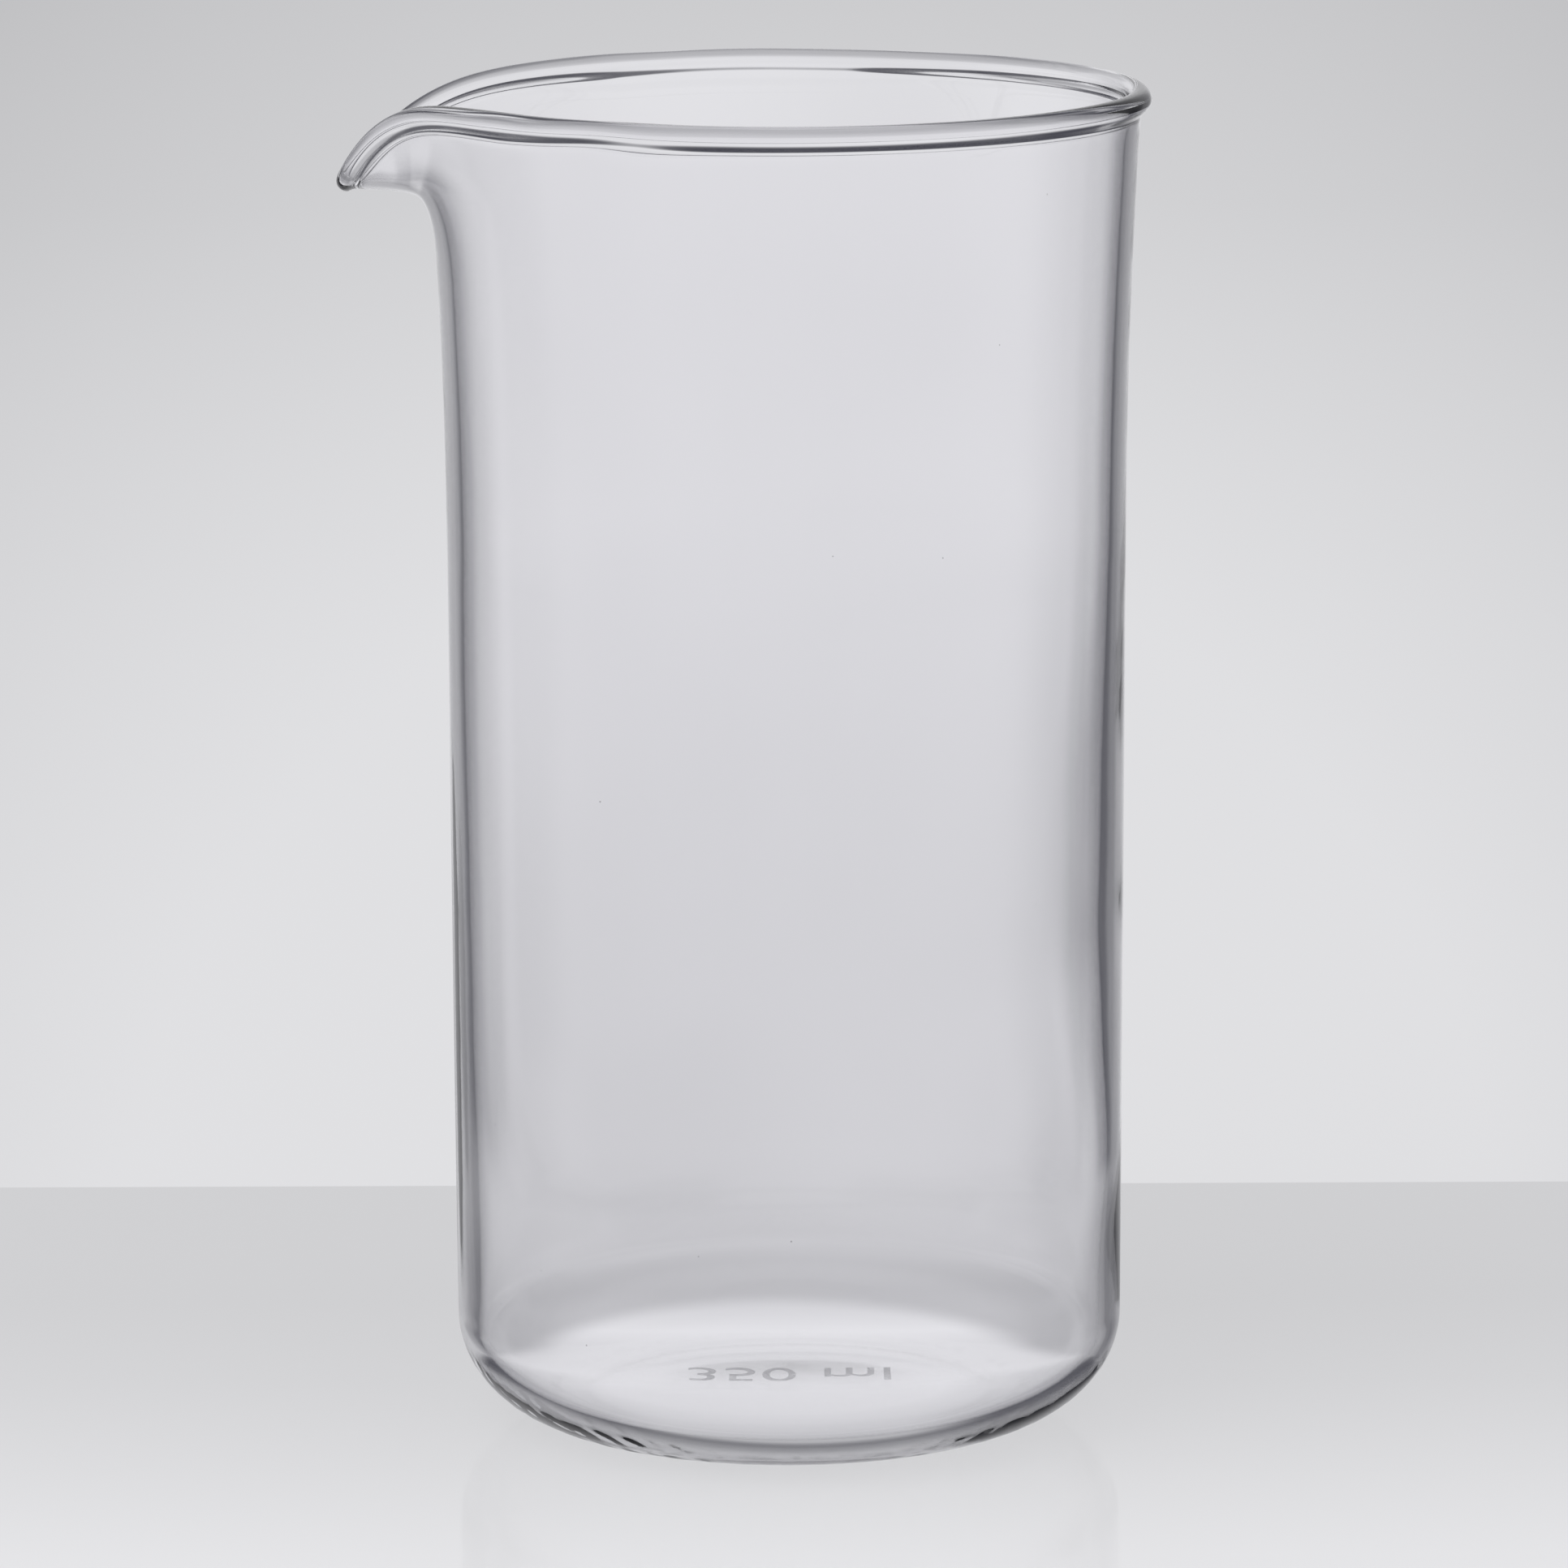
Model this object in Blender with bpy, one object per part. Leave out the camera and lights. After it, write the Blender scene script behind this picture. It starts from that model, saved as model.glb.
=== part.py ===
"""Clear glass beaker with a beaded rim and a drawn pouring spout, modelled at its real size in metres.

The beaker is one closed body of blown glass. Rings of points follow its section: out over the flat
underside, round the heel, up the wall and the flare, over the rim's bead and down the inside to the floor.
Each ring goes once round the Z axis, and near the rim the spout draws it outwards and down.
The origin is on the axis, in the flat underside. +Z is up and the spout points along -X.
"""

import math

import bmesh
import bpy
from mathutils import Vector

# Body, measured on the outside: its radius at the foot, and how far the wall leans out up to the shoulder
HEIGHT = 0.1395
BODY_RADIUS = 0.0347
WALL_LEAN = 0.0004
HEEL_WIDTH = 0.0132
HEEL_HEIGHT = 0.0111
FLARE_LENGTH = 0.0468
FLARE_OUT = 0.00163

# Thickness of the glass
WALL_AT_FOOT = 0.0021
WALL_AT_RIM = 0.0014
WALL_AT_SPOUT = 0.0011
BASE_THICKNESS = 0.0023
INNER_HEEL_WIDTH = 0.0108
INNER_HEEL_HEIGHT = 0.0086

# Bead round the rim, and how far it stands out from the wall's outer face
BEAD_RADIUS = 0.00128
BEAD_PROUD = 0.00098
BEAD_RADIUS_AT_SPOUT = 0.00108
BEAD_PROUD_AT_SPOUT = 0.00027

# Spout: how far its tip reaches past the rim's bead and hangs below it, and where its pull on the wall starts
SPOUT_REACH = 0.0093
SPOUT_DROP = 0.00905
SPOUT_ROOT_DEPTH = 0.0195
SPOUT_SWELL = 0.00015

# Shape of the spout round the rim, as angles in radians from its axis
REACH_SPREAD = 0.30
REACH_POWER = 1.5
REACH_ROUNDING = 0.06
DROP_SPREAD = 0.114
DROP_POWER = 1.0
DROP_ROUNDING = 0.16

# How closely the wall's curve follows its two end tangents: a parabola at the flare, a tight bend in the spout
FLARE_PULL = 2 / 3
SPOUT_PULL = 0.98

# Where the bead's round section leaves the outer face and meets the inner one, as angles from straight out
BEAD_FROM = math.radians(-62)
BEAD_TO = math.radians(207)
BEAD_FOOT = 0.95

# Facets: points round the axis, closer together by this measure at the spout, steps along the section, the small
# turn or share over which a slope is taken, and the angle from which an edge is shaded sharp
POINTS_ROUND = 96
SPOUT_CROWDING = 2.0
HEEL_STEPS = 7
SHOULDER_STEPS = 3
LIP_STEPS = 9
BEAD_STEPS = 9
SMALL_TURN = 1e-3
SHARP_EDGE = math.radians(40)

GLASS_COLOUR = (0.93, 0.94, 0.95, 1.0)
GLASS_ROUGHNESS = 0.02
GLASS_IOR = 1.47

SHOULDER_RADIUS = BODY_RADIUS + WALL_LEAN
SHOULDER_Z = HEIGHT - FLARE_LENGTH
ROOT_Z = HEIGHT - SPOUT_ROOT_DEPTH


def blend(start, end, share):
    """The value that lies this share of the way from start to end."""
    return start + (end - start) * share


def rounded_peak(angle, spread, power, rounding):
    """1 on the spout's axis, falling off to both sides round the rim, with a rounded top."""
    distance = math.hypot(angle, rounding) ** power - rounding**power
    return math.exp(-distance / spread**power)


def reach_share(angle):
    """How much of the spout's reach the rim has at this angle."""
    return rounded_peak(angle, REACH_SPREAD, REACH_POWER, REACH_ROUNDING)


def drop_share(angle):
    """How much of the spout's drop the rim has at this angle."""
    return rounded_peak(angle, DROP_SPREAD, DROP_POWER, DROP_ROUNDING)


def around(angle, radius, height):
    """The point at this angle from the spout's axis, at a radius and a height."""
    return Vector((-radius * math.cos(angle), -radius * math.sin(angle), height))


def wall_thickness(height):
    """Thickness of the plain wall, which thins evenly from the foot to the rim."""
    return blend(WALL_AT_FOOT, WALL_AT_RIM, (height - HEEL_HEIGHT) / (HEIGHT - HEEL_HEIGHT))


def flare_radius(height):
    """Outer radius above the shoulder: a parabola that leaves the wall without a step."""
    return SHOULDER_RADIUS + FLARE_OUT * ((height - SHOULDER_Z) / FLARE_LENGTH) ** 2


def shoulder_point(angle, share):
    """A point in the middle of the wall between the shoulder and the spout's root."""
    height = blend(SHOULDER_Z, ROOT_Z, share)
    middle = flare_radius(height) - wall_thickness(height) / 2
    swell = SPOUT_SWELL * reach_share(angle) * share**2
    return around(angle, middle + swell, height)


def bead_centre(angle):
    """Centre of the bead: a level circle that the spout draws out and down."""
    bead_height = HEIGHT - BEAD_RADIUS
    rim_radius = flare_radius(bead_height) + BEAD_PROUD - BEAD_RADIUS
    radius = rim_radius + SPOUT_REACH * reach_share(angle)
    return around(angle, radius, bead_height - SPOUT_DROP * drop_share(angle))


def bead_radius(angle):
    """Radius of the bead's section, which thins where the spout stretches it."""
    return blend(BEAD_RADIUS, BEAD_RADIUS_AT_SPOUT, reach_share(angle))


def lip_thickness(angle):
    """Thickness of the wall just under the bead."""
    return blend(WALL_AT_RIM, WALL_AT_SPOUT, reach_share(angle))


def lip_corner(angle):
    """Where the wall's line up from the spout's root meets its line in from the bead.

    Half way up on the plain flare, and level with the channel's floor on the spout's axis.
    """
    root = shoulder_point(angle, 1.0)
    up = (root - shoulder_point(angle, 1.0 - SMALL_TURN)).normalized()
    channel_floor = bead_centre(0.0).z - BEAD_RADIUS_AT_SPOUT + BEAD_PROUD_AT_SPOUT + WALL_AT_SPOUT / 2
    plain_height = (ROOT_Z + HEIGHT - BEAD_RADIUS) / 2
    height = blend(plain_height, channel_floor, reach_share(angle))
    return root + up * ((height - root.z) / up.z)


def lip_frame(angle):
    """The bead's centre with unit vectors out of the wall and up along it, both square to the bead's line."""
    centre = bead_centre(angle)
    along = bead_centre(angle + SMALL_TURN) - bead_centre(angle - SMALL_TURN)
    outward = along.cross(centre - lip_corner(angle)).normalized()
    upward = outward.cross(along).normalized()
    return centre, outward, upward


def lip_point(angle, share):
    """A point in the middle of the wall between the spout's root and the bead, on a cubic curve."""
    centre, outward, upward = lip_frame(angle)
    proud = blend(BEAD_PROUD, BEAD_PROUD_AT_SPOUT, reach_share(angle))
    offset = lip_thickness(angle) / 2 + proud - bead_radius(angle)
    root = shoulder_point(angle, 1.0)
    end = centre - outward * offset - upward * (BEAD_FOOT * bead_radius(angle))
    corner = lip_corner(angle)
    pull = blend(FLARE_PULL, SPOUT_PULL, reach_share(angle))
    near_root = root.lerp(corner, pull)
    near_end = end.lerp(corner, pull)
    rest = 1.0 - share
    return (
        root * rest**3
        + near_root * (3 * rest**2 * share)
        + near_end * (3 * rest * share**2)
        + end * share**3
    )


def wall_point(surface, angle, share, thickness):
    """A point offset from the middle of the wall by half its thickness, outwards if that is positive."""
    low = max(share - SMALL_TURN, 0.0)
    high = min(share + SMALL_TURN, 1.0)
    up = surface(angle, high) - surface(angle, low)
    along = surface(angle + SMALL_TURN, share) - surface(angle - SMALL_TURN, share)
    outward = along.cross(up).normalized()
    return surface(angle, share) + outward * (thickness / 2)


def lip_wall_point(angle, share, side):
    """A point on the outer (side 1) or inner (side -1) face between the spout's root and the bead."""
    thickness = blend(wall_thickness(ROOT_Z), lip_thickness(angle), share)
    return wall_point(lip_point, angle, share, side * thickness)


def shoulder_wall_point(angle, share, side):
    """A point on the outer (side 1) or inner (side -1) face between the shoulder and the spout's root."""
    thickness = wall_thickness(blend(SHOULDER_Z, ROOT_Z, share))
    return wall_point(shoulder_point, angle, share, side * thickness)


def bead_point(angle, share):
    """A point on the bead, from where it leaves the outer face, over the top, to the inner face."""
    centre, outward, upward = lip_frame(angle)
    turn = blend(BEAD_FROM, BEAD_TO, share)
    return centre + (outward * math.cos(turn) + upward * math.sin(turn)) * bead_radius(angle)


def outer_heel_point(angle, share):
    """A point on the outer heel: a quarter ellipse from the flat underside up to the wall."""
    turn = share * math.pi / 2
    radius = BODY_RADIUS - HEEL_WIDTH * (1 - math.sin(turn))
    return around(angle, radius, HEEL_HEIGHT * (1 - math.cos(turn)))


def inner_heel_point(angle, share):
    """A point on the inner heel: a quarter ellipse from the wall down to the floor."""
    turn = share * math.pi / 2
    radius = BODY_RADIUS - WALL_AT_FOOT - INNER_HEEL_WIDTH * (1 - math.cos(turn))
    return around(angle, radius, BASE_THICKNESS + INNER_HEEL_HEIGHT * (1 - math.sin(turn)))


def steps(count, first=0):
    """Shares from first / count to 1 in even steps."""
    return [step / count for step in range(first, count + 1)]


def section_rings():
    """The rings of the glass body in order, each as a function of the angle round the axis."""
    rings = []
    for share in steps(HEEL_STEPS):
        rings.append(lambda angle, share=share: outer_heel_point(angle, share))
    for share in steps(SHOULDER_STEPS):
        rings.append(lambda angle, share=share: shoulder_wall_point(angle, share, 1))
    for share in steps(LIP_STEPS, 1):
        rings.append(lambda angle, share=share: lip_wall_point(angle, share, 1))
    for share in steps(BEAD_STEPS):
        rings.append(lambda angle, share=share: bead_point(angle, share))
    for share in reversed(steps(LIP_STEPS, 1)):
        rings.append(lambda angle, share=share: lip_wall_point(angle, share, -1))
    for share in reversed(steps(SHOULDER_STEPS)):
        rings.append(lambda angle, share=share: shoulder_wall_point(angle, share, -1))
    for share in steps(HEEL_STEPS):
        rings.append(lambda angle, share=share: inner_heel_point(angle, share))
    return rings


def ring_angles():
    """Angles once round the axis, closest together at the spout."""
    angles = []
    for number in range(POINTS_ROUND):
        share = 2 * number / POINTS_ROUND - 1
        angles.append(math.pi * math.sinh(SPOUT_CROWDING * share) / math.sinh(SPOUT_CROWDING))
    return angles


def clear_scene():
    """Removes every object from the scene."""
    for old in list(bpy.data.objects):
        bpy.data.objects.remove(old, do_unlink=True)


def glass_material():
    """Clear, smooth borosilicate glass with a faint cool grey."""
    material = bpy.data.materials.new("clear_glass")
    material.use_nodes = True
    shader = material.node_tree.nodes["Principled BSDF"]
    shader.inputs["Base Color"].default_value = GLASS_COLOUR
    shader.inputs["Roughness"].default_value = GLASS_ROUGHNESS
    shader.inputs["Metallic"].default_value = 0.0
    shader.inputs["IOR"].default_value = GLASS_IOR
    shader.inputs["Transmission Weight"].default_value = 1.0
    return material


def glass_beaker():
    """The whole beaker: its rings skinned one to the next, with the underside and the floor filled flat."""
    angles = ring_angles()
    shape = bmesh.new()
    loops = []
    for ring in section_rings():
        loops.append([shape.verts.new(ring(angle)) for angle in angles])
    for lower, upper in zip(loops, loops[1:]):
        for number in range(POINTS_ROUND):
            after = (number + 1) % POINTS_ROUND
            shape.faces.new((lower[number], lower[after], upper[after], upper[number]))
    shape.faces.new(reversed(loops[0]))
    shape.faces.new(loops[-1])
    mesh = bpy.data.meshes.new("glass_beaker")
    shape.to_mesh(mesh)
    shape.free()
    mesh.shade_smooth()
    mesh.set_sharp_from_angle(angle=SHARP_EDGE)
    mesh.materials.append(glass_material())
    beaker = bpy.data.objects.new("glass_beaker", mesh)
    bpy.context.scene.collection.objects.link(beaker)
    return beaker


def main():
    clear_scene()
    glass_beaker()


main()
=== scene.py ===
"""Visual model of a clear glass beaker with a beaded rim and a drawn pouring spout.

The file is laid out as an add-on and is run as a script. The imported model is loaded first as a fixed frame,
in metres: the origin is in the middle of the flat underside, +Z is up and the spout points along -X.
Floor and world show reflected and refracted rays other tones than the camera sees, set for the glass's lines.
"""

import math

import bmesh
import bpy
import numpy as np
from bpy.props import FloatProperty, FloatVectorProperty, PointerProperty, StringProperty
from mathutils import Matrix


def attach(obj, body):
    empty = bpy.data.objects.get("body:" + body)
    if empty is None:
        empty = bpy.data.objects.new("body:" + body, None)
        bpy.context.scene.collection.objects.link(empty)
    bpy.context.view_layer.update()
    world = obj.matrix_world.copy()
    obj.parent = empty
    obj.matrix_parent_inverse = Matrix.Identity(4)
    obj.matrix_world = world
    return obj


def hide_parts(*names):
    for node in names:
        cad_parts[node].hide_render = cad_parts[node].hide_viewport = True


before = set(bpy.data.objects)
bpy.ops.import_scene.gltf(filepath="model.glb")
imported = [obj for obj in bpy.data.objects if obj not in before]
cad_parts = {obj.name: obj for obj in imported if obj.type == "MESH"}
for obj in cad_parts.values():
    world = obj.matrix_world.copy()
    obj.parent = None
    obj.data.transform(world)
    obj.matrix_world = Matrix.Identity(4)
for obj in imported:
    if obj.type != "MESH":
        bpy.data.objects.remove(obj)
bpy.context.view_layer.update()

bl_info = {
    "name": "Glass Beaker",
    "version": (1, 0, 0),
    "blender": (4, 5, 0),
    "location": "3D View > Sidebar > Beaker",
    "description": "Builds a clear glass beaker with a drawn spout on its packed frame, and a pale stage",
    "category": "Object",
}

NODE = "glass_beaker"
BODY = "root"

# Spout: how its reach and drop fade round the rim, and how the wall curves up to it
REACH_POWER = 1.5
REACH_ROUNDING = 0.06
DROP_POWER = 1.0
DROP_ROUNDING = 0.16
FLARE_PULL = 2 / 3
SPOUT_PULL = 0.98
SMALL_STEP = 1e-3

# Bead: where its round section starts and ends, and how far below its centre the wall meets it
BEAD_FROM = math.radians(-62)
BEAD_TO = math.radians(207)
BEAD_FOOT = 0.95

# Uneven rim: turn from the spout and spread of each place, in radians, and what happens there
RIM_THIN = (math.radians(67), 0.16)
RIM_RAISED = (math.radians(-73), 0.2)
RIM_THICK = ((math.radians(47), 0.13), (math.radians(-50), 0.15))
RIM_WAVES = ((0.3, 5, 0.0, 0.7), (0.2, 9, 0.0, 2.1))
THIN_RISE = 0.00016
RAISED_RISE = 0.0001
WAVE_RISE = 0.00003
THIN_NARROWING = 0.08
THIN_SINKING = 0.3
THICK_SWELLING = 0.05
WAVE_SWELLING = 0.02

# Fillets under the bead: rows to each side and passes of averaging, and where the soft one takes over
OUTER_FILLET = (8, 20)
INNER_FILLET = (7, 10)
SOFT_FILLET = (9, 40)
NEAR_SOFT = (math.radians(75), 0.14)
NEAR_SOFT_SHARE = 0.85
FAR_SOFT = (math.radians(-73), 0.42)
FAR_SOFT_SHARE = 2.0

# Ridges round the foot: irregular waves round the axis, drawn from a fixed seed
RIDGE_SEED = 7
RIDGE_WAVES = 12
RIDGE_COUNTS = (19, 70)
RIDGE_SLANT = 9
RIDGE_FINER = 1.3
RIDGE_FRONT = math.radians(98)
RIDGE_SLOPE = 0.31
RIDGE_LEAST_FRONT = 0.2
RIDGE_LIFT = 0.05
RIDGE_WANDER = 0.006
RIDGE_WIDTH = 0.05
RIDGE_HEIGHT = 0.000016
RIDGE_ROUGH = 0.5
RIDGE_WEAK = 0.4
RIDGE_STRONG = 0.8
RIDGE_STRONG_PLACE = (math.radians(42), 0.5)

# Blown wall: swells as (size, height, its spread, turn, its spread), waves as (size, count, climb, phase)
FLOOR_RING_SIZE = 0.00002
FLOOR_RING_PACE = 9
INNER_SWELLS = (
    (0.00032, 0.064, 0.022, math.pi, 0.75),
    (-0.00050, 0.026, 0.010, math.pi, 0.75),
    (0.00012, 0.051, 0.006, math.pi, 0.75),
    (-0.00008, 0.074, 0.022, 0.0, 0.75),
    (0.00016, 0.016, 0.016, 0.0, 0.75),
)
OUTER_SWELLS = (
    (0.00005, 0.044, 0.034, math.radians(10.5), 0.05),
    (0.00005, 0.074, 0.016, math.radians(186), 0.09),
)
INNER_WAVES = ((0.00003, 3, 70.0, 0.0), (0.00002, 5, -110.0, 1.3))
OUTER_WAVES = ((0.00002, 2, 45.0, 0.4), (0.000012, 3, -80.0, 2.0))

# Grid of the glass: points round the axis and rows along each stretch of its section
POINTS_ROUND = 340
SPOUT_CROWDING = 1.6
BASE_ROWS = 10
OUTER_HEEL_ROWS = 42
INNER_HEEL_ROWS = 26
OUTER_WALL_ROWS = 30
INNER_WALL_ROWS = 42
SHOULDER_ROWS = 9
LIP_ROWS = 30
BEAD_ROWS = 40
LIP_CROWDING = 1.7

# Finish: noise as (lumps to the metre, detail, start, end), where it is eased from its start to its end
CLOUD_NOISE = (25.0, 2.0, 0.3, 0.7)
SMUDGE_NOISE = (45.0, 5.0, 0.55, 0.75)
SCUFF_NOISE = (700.0, 3.0, 0.40, 0.60)
GRAIN_NOISE = (2600.0, 3.0, 0.3, 0.7)
THIN_NOISE = (900.0, 2.0, 0.35, 0.65)
CLOUD_LEAST = 0.985
SPECK_SCALE = 110.0
SPECK_EDGE = (0.008, 0.014)
SPECK_TONE = 0.35
SCUFF_LEAST = 0.05
FOOT_WORN_UP = (0.0006, 0.0010)
FOOT_WORN_OUT = (0.0243, 0.0250)
RIPPLE_SCALES = (40.0, 160.0)
RIPPLE_FINE = 0.2
RIPPLE_DEPTH = 0.001

# Mark under the base: its place behind the middle and its finish
MARK_THICKNESS = 0.00003
MARK_BEHIND = 0.009
MARK_LIFT = 0.00003
MARK_TONES = (0.9, 1.05)
MARK_ROUGHNESS = (0.55, 0.8)
MARK_COVER = (0.3, 0.55)
MARK_CURVE_STEPS = 6
MARK_WELD = 1e-6

# Floor and backdrop: sizes, and tones by distance behind the glass in metres, which paint a falloff of light:
# darker further back and, on the backdrop, at its sides
FLOOR_HALF = 4.0
FLOOR_DROP = 0.0002
FLOOR_ROUGHNESS = 0.06
FLOOR_TONES = (
    (-0.12, 0.842), (-0.058, 0.815), (-0.022, 0.745), (0.012, 0.685), (0.048, 0.648), (0.104, 0.648),
)
BACKDROP_TONES = (
    (0.105, 0.835), (0.225, 0.825), (0.475, 0.79), (0.64, 0.76), (0.85, 0.716), (1.04, 0.676), (1.5, 0.626),
)
BACKDROP_EYE = 0.94
BACKDROP_NEAREST = 0.3
BACKDROP_MIDDLE = 0.003
BACKDROP_SIDE_FADE = 10.5
BACKDROP_SIDE_MOST = 0.1
BACKDROP_TOP = (1.6, 3.4)

# Floor as the glass shows it, painted light and shade: a table with a painted lit disc, a painted shadow in
# front and painted dark bands for flags at the sides
TABLE_TONES = (
    (-0.1, 0.62), (-0.04, 0.58), (0.0, 0.47), (0.02, 0.545), (0.03, 0.53), (0.047, 0.505), (0.06, 0.54),
    (0.07, 0.575), (0.105, 0.615),
)
TABLE_BACK = (0.085, 0.125)
TABLE_SIDES = (0.1, 0.16)
FLAG_SIDE = 0.037
FLAG_ASIDE = -0.006
FLAG_FRONT = 0.012
FLAG_EDGE = 0.003
FLAG_NEAREST = 0.001
FLAG_FADE = (38.0, 56.0)
FLAG_FAR = (0.085, 0.135)
FLAG_FAR_SHARE = 0.6
# Painted shade: gaps between the dark bands painted on the floor for flags, by their spread in degrees
PAINTED_FLAG_SHADE_GAPS = (
    (0, 1.0), (8, 1.0), (14, 0.58), (19, 0.44), (22, 0.25), (24, 0.08), (29, 0.08), (31.5, 0.38), (36, 0.50),
    (56, 0.60),
)
# Painted light: tones of a bright disc painted on the floor under the glass, seen only through the glass
PAINTED_LIGHT_DISC_TONES = (
    (-0.012, 0.70), (-0.002, 0.755), (0.006, 0.81), (0.010, 0.79), (0.013, 0.76), (0.019, 0.755),
    (0.023, 0.77), (0.028, 0.83), (0.033, 0.76), (0.04, 0.68),
)
DISC_BEHIND = 0.003
DISC_ASIDE = -0.0015
DISC_EDGE = (0.0350, 0.0430)
DISC_BACK = (0.008, 0.022)
DISC_NARROW = 1.28
# Painted shadow: tones of a dark ring painted on the floor in front of and beside the foot
PAINTED_SHADOW_TONES = (
    (0.0163, 0.81), (0.0184, 0.75), (0.0204, 0.69), (0.0244, 0.63), (0.0264, 0.58), (0.0284, 0.555),
    (0.030, 0.53), (0.031, 0.50), (0.0325, 0.46), (0.0334, 0.37), (0.0342, 0.26), (0.0349, 0.20),
    (0.0353, 0.15), (0.0357, 0.17), (0.0361, 0.28), (0.0366, 0.45), (0.039, 0.55), (0.048, 0.55),
)
PAINTED_SHADOW_SIDE_TONES = (
    (0.0163, 0.81), (0.0184, 0.75), (0.0204, 0.69), (0.0244, 0.63), (0.0264, 0.58), (0.0284, 0.55),
    (0.031, 0.50), (0.0325, 0.46), (0.0334, 0.37), (0.0342, 0.26), (0.0349, 0.16), (0.0355, 0.10),
    (0.0405, 0.08), (0.046, 0.50), (0.05, 0.55),
)
SHADOW_BEHIND = 0.00835
SHADOW_ASIDE = -0.0014
SHADOW_NARROW = 0.92
SHADOW_SIDES = (0.012, 0.026)
SHADOW_BACK = (0.004, 0.020)

# Card behind the glass that glows by itself, painted light for the glass only: its place and soft edges in
# metres, and tones by height
CARD_BEHIND = 0.3
CARD_HALF = 0.12
CARD_LOW = (0.042, 0.070)
CARD_HIGH = (0.200, 0.217)
CARD_SIDE = (0.04, 0.10)
GLOWING_CARD_TONES = ((0.055, 0.96), (0.075, 0.965), (0.110, 1.0))

# Light that the glass shows: tones by elevation, shares by bearing from the line of sight, in degrees
PANEL_TONES = (
    (-90, 0.45), (-57, 0.43), (-42, 0.45), (-31, 0.47), (-25, 0.51), (-20, 0.57), (-16, 0.60), (-13, 0.645),
    (-11.8, 0.668), (-10.8, 0.688), (-9.8, 0.716), (-8.8, 0.757), (-7, 0.752), (5, 0.76), (11, 0.755),
    (12, 0.68), (13, 0.50), (14, 0.34), (16, 0.12), (19, 0.05), (29, 0.06), (32, 0.45), (38, 0.72),
    (90, 0.80),
)
FLAG_TONES = (
    (-90, 0.34), (-45, 0.22), (-30, 0.14), (-18, 0.12), (-13, 0.09), (-5, 0.09), (0, 0.16), (8, 0.20),
    (11, 0.12), (14, 0.07), (30, 0.07), (40, 0.35), (50, 0.50), (90, 0.80),
)
ROOM_TONES = (
    (-90, 0.30), (-50, 0.20), (-30, 0.13), (-20, 0.18), (-15, 0.42), (-12, 0.55), (-8, 0.45), (-3, 0.36),
    (10, 0.34), (20, 0.22), (30, 0.22), (37, 0.50), (45, 0.74), (90, 0.80),
)
FAR_TONES = (
    (-90, 0.25), (-50, 0.15), (-35, 0.08), (-22, 0.08), (-15, 0.20), (-8, 0.26), (-4, 0.12), (12, 0.09),
    (25, 0.12), (37, 0.45), (45, 0.74), (90, 0.80),
)
PANEL_SHARES = (
    (-36, 0.0), (-31, 0.15), (-27, 0.50), (-20, 0.54), (-14, 0.62), (-8, 1.0), (8, 1.0), (11, 0.84),
    (14, 0.60), (17, 0.45), (20, 0.36), (27, 0.32), (31, 0.06), (36, 0.0),
)
ROOM_OPEN = (40.0, 52.0)
FAR_OPEN = (55.0, 60.0)
FAR_SHUT = (80.0, 95.0)
MIRRORED_RISE = 0.5

# Lit panels to the sides and behind the camera: (bearing, low, high, full, gone) in degrees
SIDE_PANELS = (
    (-82.0, -9.0, 10.0, 5.0, 50.0),
    (143.0, -30.0, 12.0, 5.0, 70.0),
    (-37.0, -31.0, -19.0, 9.0, 26.0),
)
PANEL_SOFTNESS = 4.0

# Soft lamp that lights the floor, and the camera's fixed settings
LAMP_SIZE = 0.8
LAMP_POWER = 4.0
LAMP_PLACE = (-0.5, -0.6, 1.0)
SENSOR_WIDTH = 36.0
CLIP_NEAR = 0.01
CLIP_FAR = 50.0


def length(name, description, default):
    """A length that a user can change, in metres."""
    return FloatProperty(name=name, description=description, default=default, unit="LENGTH", precision=5)


def angle(name, description, degrees):
    """An angle that a user can change, given in degrees and kept in radians."""
    return FloatProperty(name=name, description=description, default=math.radians(degrees), unit="ROTATION")


def share(name, description, default):
    """A share from 0 to 1 that a user can change."""
    return FloatProperty(
        name=name, description=description, default=default, min=0.0, max=1.0, subtype="FACTOR"
    )


def plain(name, description, default):
    """A plain number that a user can change."""
    return FloatProperty(name=name, description=description, default=default)


def colour(name, description, default):
    """A colour that a user can change, as linear red, green and blue."""
    return FloatVectorProperty(
        name=name, description=description, default=default, size=3, min=0.0, soft_max=1.0, subtype="COLOR"
    )


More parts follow.
